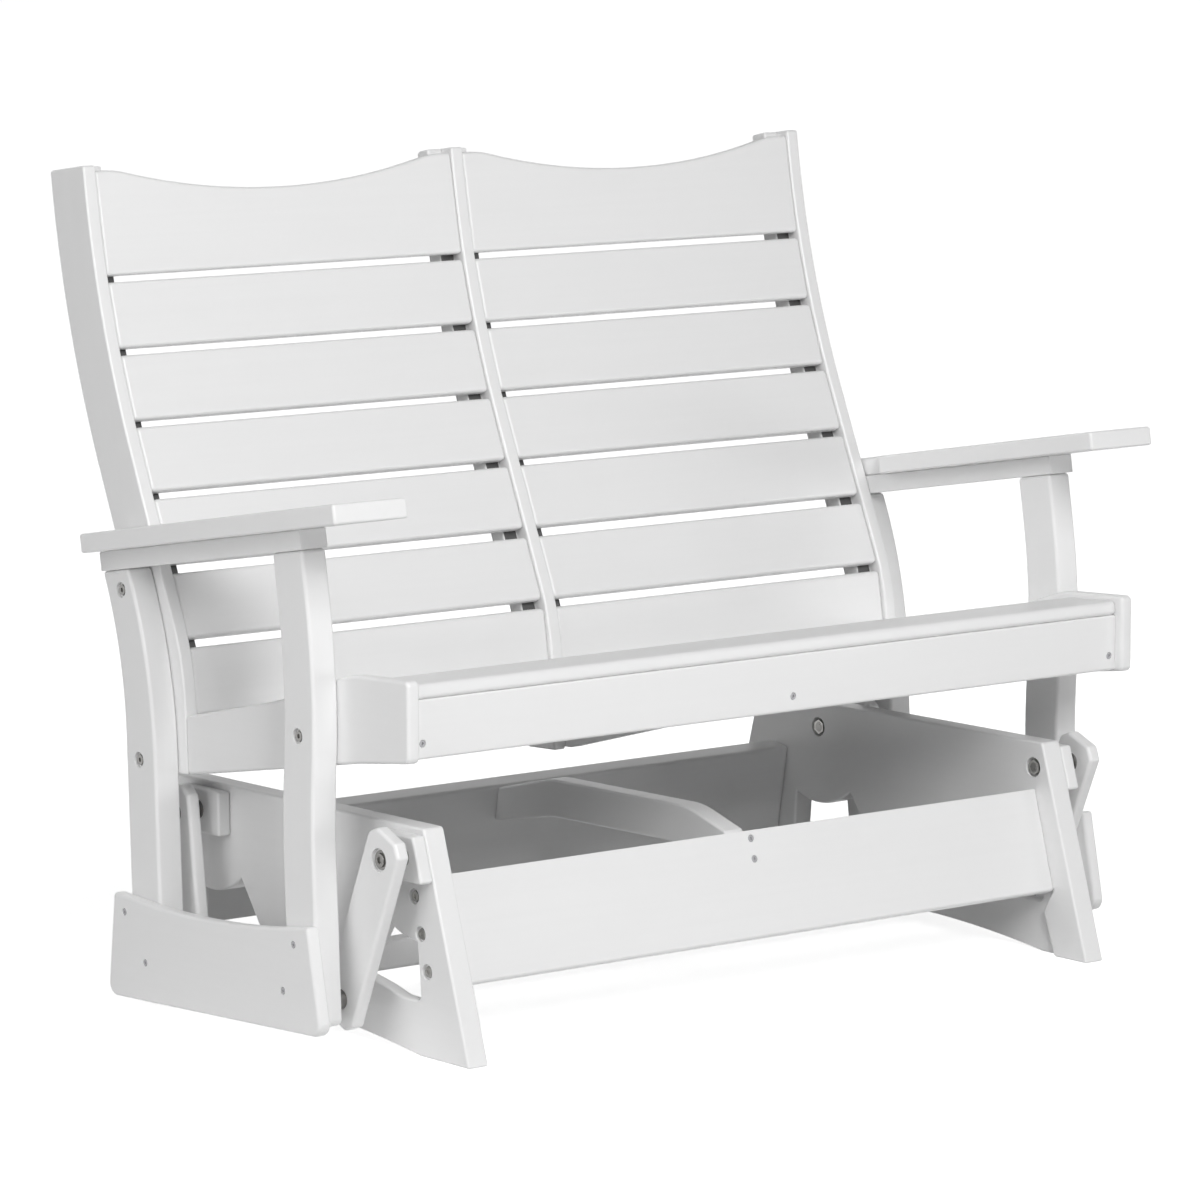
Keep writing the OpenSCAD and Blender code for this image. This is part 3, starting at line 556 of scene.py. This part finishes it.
def welded_copy(node):
    """The solid of a node as clean faces: no doubled corners and no seams across flat areas."""
    bm = bmesh.new()
    bm.from_mesh(NODES[node].data)
    bmesh.ops.remove_doubles(bm, verts=bm.verts, dist=DOUBLED)
    bmesh.ops.dissolve_degenerate(bm, edges=bm.edges, dist=SLIVER)
    bmesh.ops.dissolve_limit(bm, angle_limit=FLAT, verts=bm.verts, edges=bm.edges)
    return bm


def joined_runs(parts, neighbours):
    """Parts of a mesh as runs of neighbours, always in the same order."""
    left = dict.fromkeys(parts)
    runs = []
    while left:
        first = next(iter(left))
        del left[first]
        run, front = [], [first]
        while front:
            part = front.pop()
            run.append(part)
            for other in neighbours(part):
                if other in left:
                    del left[other]
                    front.append(other)
        runs.append(run)
    return runs


def outer_corners(bm):
    """Runs of joined outer edges that make a corner."""
    sharp = [
        e
        for e in bm.edges
        if len(e.link_faces) == 2 and e.is_convex and e.calc_face_angle(0.0) > CORNER
    ]
    return joined_runs(sharp, lambda edge: [e for v in edge.verts for e in v.link_edges])


def run_radius(run):
    """How far a run of edges reaches from its own middle."""
    points = [v.co for e in run for v in e.verts]
    middle = sum(points, Vector()) / len(points)
    return max((p - middle).length for p in points)


def round_over(bm, edges, radius, steps):
    """Rolls the given edges over to a radius."""
    bmesh.ops.bevel(
        bm,
        geom=edges,
        offset=radius,
        offset_type="OFFSET",
        segments=steps,
        profile=0.5,
        affect="EDGES",
        clamp_overlap=False,
        loop_slide=False,
        material=-1,
    )


def sorted_corners(bm, hole_size):
    """Outer edges of a solid, as those of its outline and those round its holes."""
    wide, small = [], []
    for run in outer_corners(bm):
        (small if run_radius(run) < hole_size else wide).extend(run)
    return wide, small


def eased_piece(node, name, material, ease, hole_ease, hole_size=HOLE_SIZE):
    """A piece with rolled edges that stands for a node and moves with its body."""
    bm = welded_copy(node)
    wide, small = sorted_corners(bm, hole_size)
    if wide and hole_size:
        # A dict keeps the points in the same order each run
        outline = list(dict.fromkeys(v for e in wide for v in e.verts))
        close = CLOSE_POINTS_OF.get(node, CLOSE_POINTS) * MM
        bmesh.ops.remove_doubles(bm, verts=outline, dist=close)
        bmesh.ops.dissolve_limit(bm, angle_limit=FLAT, verts=bm.verts, edges=bm.edges)
        wide, small = sorted_corners(bm, hole_size)
    # An outline edge that runs close past a hole keeps only the small radius of the hole
    rims = [v.co for e in small for v in e.verts]
    for edge in list(wide):
        middle = (edge.verts[0].co + edge.verts[1].co) / 2
        if any((middle - rim).length < ease + RIM_MARGIN for rim in rims):
            wide.remove(edge)
            small.append(edge)
    # The seam mark keeps the rims known while the outline is rolled over
    for edge in small:
        edge.seam = True
    if wide:
        round_over(bm, wide, ease, EDGE_STEPS)
    rims = [e for e in bm.edges if e.seam]
    if rims:
        round_over(bm, rims, hole_ease, RIM_STEPS)
    place_piece(bm, node, name, material)


def place_piece(bm, node, name, material):
    """Makes the finished mesh an object that stands for a node."""
    for edge in bm.edges:
        edge.seam = False
        edge.smooth = edge.calc_face_angle(0.0) < CREASE
    for face in bm.faces:
        face.smooth = True
    mesh = bpy.data.meshes.new(name)
    bm.to_mesh(mesh)
    bm.free()
    mesh.materials.append(material)
    piece = bpy.data.objects.new(name, mesh)
    bpy.context.scene.collection.objects.link(piece)
    level = piece.modifiers.new("flat faces stay flat", "WEIGHTED_NORMAL")
    level.mode = "FACE_AREA"
    level.weight = 100
    level.keep_sharp = True
    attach(piece, BODY_OF[node])
    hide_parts(node)


def islands(node):
    """The corner points of each separate solid of a node, and the way its widest face looks."""
    bm = welded_copy(node)
    runs = joined_runs(bm.verts, lambda vert: [e.other_vert(vert) for e in vert.link_edges])
    found = [[vert.co.copy() for vert in run] for run in runs]
    widest = max(bm.faces, key=lambda face: face.calc_area())
    out = widest.normal.copy()
    bm.free()
    return found, out


def slat_piece(node):
    """A slat cut from plain board, with all its edges rolled over and perhaps a fuller nose."""
    solids, out = islands(node)
    # The good side of a slat looks up or to the front
    if out.y > 0.9 or out.z < -0.5:
        out = -out
    along = Vector(ALONG)
    across = along.cross(out)
    axes = (along, across, out)
    bm = bmesh.new()
    for points in solids:
        spans = [(min(p.dot(a) for p in points), max(p.dot(a) for p in points)) for a in axes]
        # A cube that runs from -0.5 to 0.5 along each axis is stretched over the solid
        for vert in bmesh.ops.create_cube(bm, size=1.0)["verts"]:
            corner = Vector()
            for axis, (low, high), part in zip(axes, spans, vert.co):
                corner += axis * (low + (part + 0.5) * (high - low))
            vert.co = corner
    bm.normal_update()
    if node in FULL_NOSES:
        front, top = spans[1][0], spans[2][1]
        nose = [
            e
            for e in bm.edges
            if all(v.co.dot(across) < front + MM and v.co.dot(out) > top - MM for v in e.verts)
        ]
        round_over(bm, nose, FULL_NOSES[node] * MM, NOSE_STEPS)
        edges = [e for e in bm.edges if e.calc_face_angle(0.0) > SQUARE]
    else:
        edges = list(bm.edges)
    round_over(bm, edges, SLAT_EDGE * MM, EDGE_STEPS)
    place_piece(bm, node, node + "_board", board_material(ALONG))


def board_material(grain, slot_shaded=False):
    """The board material with its grain along the given direction."""
    kind = "sawn" if slot_shaded else "extruded"
    label = f"{kind} polyethylene board " + " ".join(f"{g:.2f}" for g in grain)
    return bpy.data.materials.get(label) or polyethylene_board(label, grain, slot_shaded)


def dress_boards(boards):
    """Eased boards for a table of nodes and grain directions."""
    finish = bpy.context.scene.board_finish
    for node, grain in boards.items():
        ease = TIGHT_EDGES[node] * MM if node in TIGHT_EDGES else finish.ease
        material = board_material(grain, node in SLOT_SHADE_BOARDS)
        eased_piece(node, node + "_board", material, ease, finish.hole_ease)


class DressBase(bpy.types.Operator):
    """End frames, rails, brace, stretcher and pivot blocks of the fixed base"""

    bl_idname = "glider_bench.dress_base"
    bl_label = "Base frame"

    def execute(self, context):
        dress_boards(BASE_BOARDS)
        return {"FINISHED"}


class DressArms(bpy.types.Operator):
    """The four hanging swing arms"""

    bl_idname = "glider_bench.dress_swing_arms"
    bl_label = "Swing arms"

    def execute(self, context):
        dress_boards(ARM_BOARDS)
        return {"FINISHED"}


class DressSeat(bpy.types.Operator):
    """Side boards, supports, apron and seat slats"""

    bl_idname = "glider_bench.dress_seat"
    bl_label = "Seat"

    def execute(self, context):
        dress_boards(SEAT_BOARDS)
        for node in SEAT_SLATS:
            slat_piece(node)
        return {"FINISHED"}


class DressBack(bpy.types.Operator):
    """Back posts, back slats, scooped top slats and the strips behind them"""

    bl_idname = "glider_bench.dress_back"
    bl_label = "Back"

    def execute(self, context):
        dress_boards(BACK_BOARDS)
        for node in BACK_SLATS:
            slat_piece(node)
        return {"FINISHED"}


class DressArmrests(bpy.types.Operator):
    """Arm posts, lower plates, support boards and armrests"""

    bl_idname = "glider_bench.dress_armrests"
    bl_label = "Armrests"

    def execute(self, context):
        dress_boards(ARMREST_BOARDS)
        return {"FINISHED"}


class DressFasteners(bpy.types.Operator):
    """Pivot bolts, spacers, nuts, screws and bushes"""

    bl_idname = "glider_bench.dress_fasteners"
    bl_label = "Fasteners and bushes"

    def execute(self, context):
        finish = context.scene.metal_finish
        ease = finish.ease
        # Two copies of one stainless steel: a darkened one as painted shade and reflection, and a
        # lighter one
        steel = turned_steel("turned stainless steel", finish.stainless, roughness=0.26, wear=0.12)
        bright = turned_steel("bright stainless steel", finish.bright, roughness=0.3, wear=0.12)
        coated = turned_steel("coated steel screw", finish.screw, roughness=0.42, wear=0.16)
        acetal = moulded_acetal("moulded acetal bush", finish.bush)
        for nodes, material, slot in (
            (PIVOT_STEEL, steel, "stainless"),
            (LIGHTER_STEEL_COPY, bright, "stainless"),
            (COATED_SCREWS, coated, "screws"),
            (PIVOT_BUSHES, acetal, "bushes"),
        ):
            for node in nodes:
                eased_piece(node, node + "_finished", material, ease, ease, hole_size=0.0)
        return {"FINISHED"}


def plain_to_see(tree):
    """1 for what the camera sees, also in reflections and through things, 0 for what lights."""
    path = add(tree, "ShaderNodeLightPath").outputs
    seen = calc(tree, "MAXIMUM", path["Is Camera Ray"], path["Is Glossy Ray"])
    return calc(tree, "MAXIMUM", seen, path["Is Transmission Ray"])


def studio_world():
    """Even light all round, seen as plain white behind the bench."""
    setup = bpy.context.scene.stage_setup
    world = bpy.data.worlds.new("plain studio")
    bpy.context.scene.world = world
    world.use_nodes = True
    tree = world.node_tree
    tree.nodes.clear()
    dome = add(tree, "ShaderNodeBackground", {"Color": WHITE, "Strength": setup.dome})
    white = add(tree, "ShaderNodeBackground", {"Color": WHITE, "Strength": 1.0})
    inputs = {0: plain_to_see(tree), 1: dome.outputs[0], 2: white.outputs[0]}
    mix = add(tree, "ShaderNodeMixShader", inputs)
    add(tree, "ShaderNodeOutputWorld", {"Surface": mix.outputs[0]})


def studio_floor():
    """A wide pale floor that reads white to the eye and keeps a faint shadow at the feet."""
    setup = bpy.context.scene.stage_setup
    bm = bmesh.new()
    bmesh.ops.create_grid(bm, x_segments=8, y_segments=8, size=FLOOR_REACH)
    mesh = bpy.data.meshes.new("studio_floor")
    bm.to_mesh(mesh)
    bm.free()
    floor = bpy.data.objects.new("studio_floor", mesh)
    bpy.context.scene.collection.objects.link(floor)
    floor.location.z = -FLOOR_DROP
    material, tree = new_tree("matt painted floor")
    cloud = noise(tree, ALONG, cell=(900, 900), detail=2.0)
    colour = blend(tree, cloud, darker(setup.floor_colour, share=0.96), setup.floor_colour)
    # Under the bench the paint keeps its shadow; further out the floor reads plain white
    place = add(tree, "ShaderNodeTexCoord").outputs["Object"]
    away = add(tree, "ShaderNodeVectorMath", {0: place}, operation="LENGTH").outputs["Value"]
    level = spread(tree, away, SHADOW_EDGE, FLOOR_GLOW)
    glow = calc(tree, "MULTIPLY", plain_to_see(tree), level)
    paint = add(tree, "ShaderNodeBsdfDiffuse", {"Color": colour, "Roughness": 0.5})
    white = add(tree, "ShaderNodeEmission", {"Color": WHITE, "Strength": glow})
    both = add(tree, "ShaderNodeAddShader", {0: paint.outputs[0], 1: white.outputs[0]})
    add(tree, "ShaderNodeOutputMaterial", {"Surface": both.outputs[0]})
    mesh.materials.append(material)


def soft_lamp(name, place, size, power):
    """A large soft lamp that faces the middle of the bench and doesn't show itself."""
    lamp = bpy.data.lights.new(name, "AREA")
    lamp.shape = "RECTANGLE"
    lamp.size, lamp.size_y = size
    lamp.energy = power
    made = bpy.data.objects.new(name, lamp)
    bpy.context.scene.collection.objects.link(made)
    made.location = place
    aim = Vector(LAMP_AIM) - Vector(place)
    made.rotation_euler = aim.to_track_quat("-Z", "Y").to_euler()
    made.visible_camera = False


def studio_camera():
    """The camera at the viewing angle of the picture."""
    setup = bpy.context.scene.stage_setup
    az, el, roll = setup.azimuth, setup.elevation, setup.roll
    back = Vector((math.sin(az) * math.cos(el), -math.cos(az) * math.cos(el), math.sin(el)))
    right = Vector((math.cos(az), math.sin(az), 0.0))
    up = back.cross(right)
    turned_right = math.cos(roll) * right + math.sin(roll) * up
    turned_up = back.cross(turned_right)
    lens = bpy.data.cameras.new("bench_camera")
    lens.sensor_width = SENSOR_WIDTH
    lens.lens = setup.lens
    lens.clip_end = VIEW_END
    made = bpy.data.objects.new("bench_camera", lens)
    bpy.context.scene.collection.objects.link(made)
    place = Vector(setup.target) + setup.distance * back
    columns = (turned_right, turned_up, back)
    rows = [[column[i] for column in columns] + [place[i]] for i in range(3)]
    made.matrix_world = Matrix([*rows, [0, 0, 0, 1]])
    bpy.context.scene.camera = made


class BuildStage(bpy.types.Operator):
    """Floor, world, lamps and camera"""

    bl_idname = "glider_bench.build_stage"
    bl_label = "Stage"

    def execute(self, context):
        setup = context.scene.stage_setup
        context.scene.view_settings.view_transform = "Standard"
        studio_world()
        studio_floor()
        for name, (place, size) in LAMPS.items():
            soft_lamp(name, place, size, getattr(setup, name))
        studio_camera()
        return {"FINISHED"}


class BenchPanel(bpy.types.Panel):
    """The steps that dress the bench, with their sizes and colours"""

    bl_idname = "VIEW3D_PT_glider_bench"
    bl_label = "Glider bench"
    bl_space_type = "VIEW_3D"
    bl_region_type = "UI"
    bl_category = "Bench"

    def draw(self, context):
        layout = self.layout
        scene = context.scene
        for group in (scene.board_finish, scene.metal_finish, scene.stage_setup):
            column = layout.column()
            for name in group.__annotations__:
                column.prop(group, name)
        for operator in OPERATORS:
            layout.operator(operator.bl_idname)


OPERATORS = (DressBase, DressArms, DressSeat, DressBack, DressArmrests, DressFasteners, BuildStage)
CLASSES = (BoardFinish, MetalFinish, StageSetup, *OPERATORS, BenchPanel)


def register():
    """Makes the steps, the panel and the settings known."""
    for cls in CLASSES:
        bpy.utils.register_class(cls)
    bpy.types.Scene.board_finish = bpy.props.PointerProperty(type=BoardFinish)
    bpy.types.Scene.metal_finish = bpy.props.PointerProperty(type=MetalFinish)
    bpy.types.Scene.stage_setup = bpy.props.PointerProperty(type=StageSetup)


def unregister():
    """Takes everything out again that register made known."""
    del bpy.types.Scene.stage_setup
    del bpy.types.Scene.metal_finish
    del bpy.types.Scene.board_finish
    for cls in reversed(CLASSES):
        bpy.utils.unregister_class(cls)


def main():
    """Runs every step in order."""
    register()
    bpy.ops.glider_bench.dress_base()
    bpy.ops.glider_bench.dress_swing_arms()
    bpy.ops.glider_bench.dress_seat()
    bpy.ops.glider_bench.dress_back()
    bpy.ops.glider_bench.dress_armrests()
    bpy.ops.glider_bench.dress_fasteners()
    bpy.ops.glider_bench.build_stage()


if __name__ == "__main__":
    main()
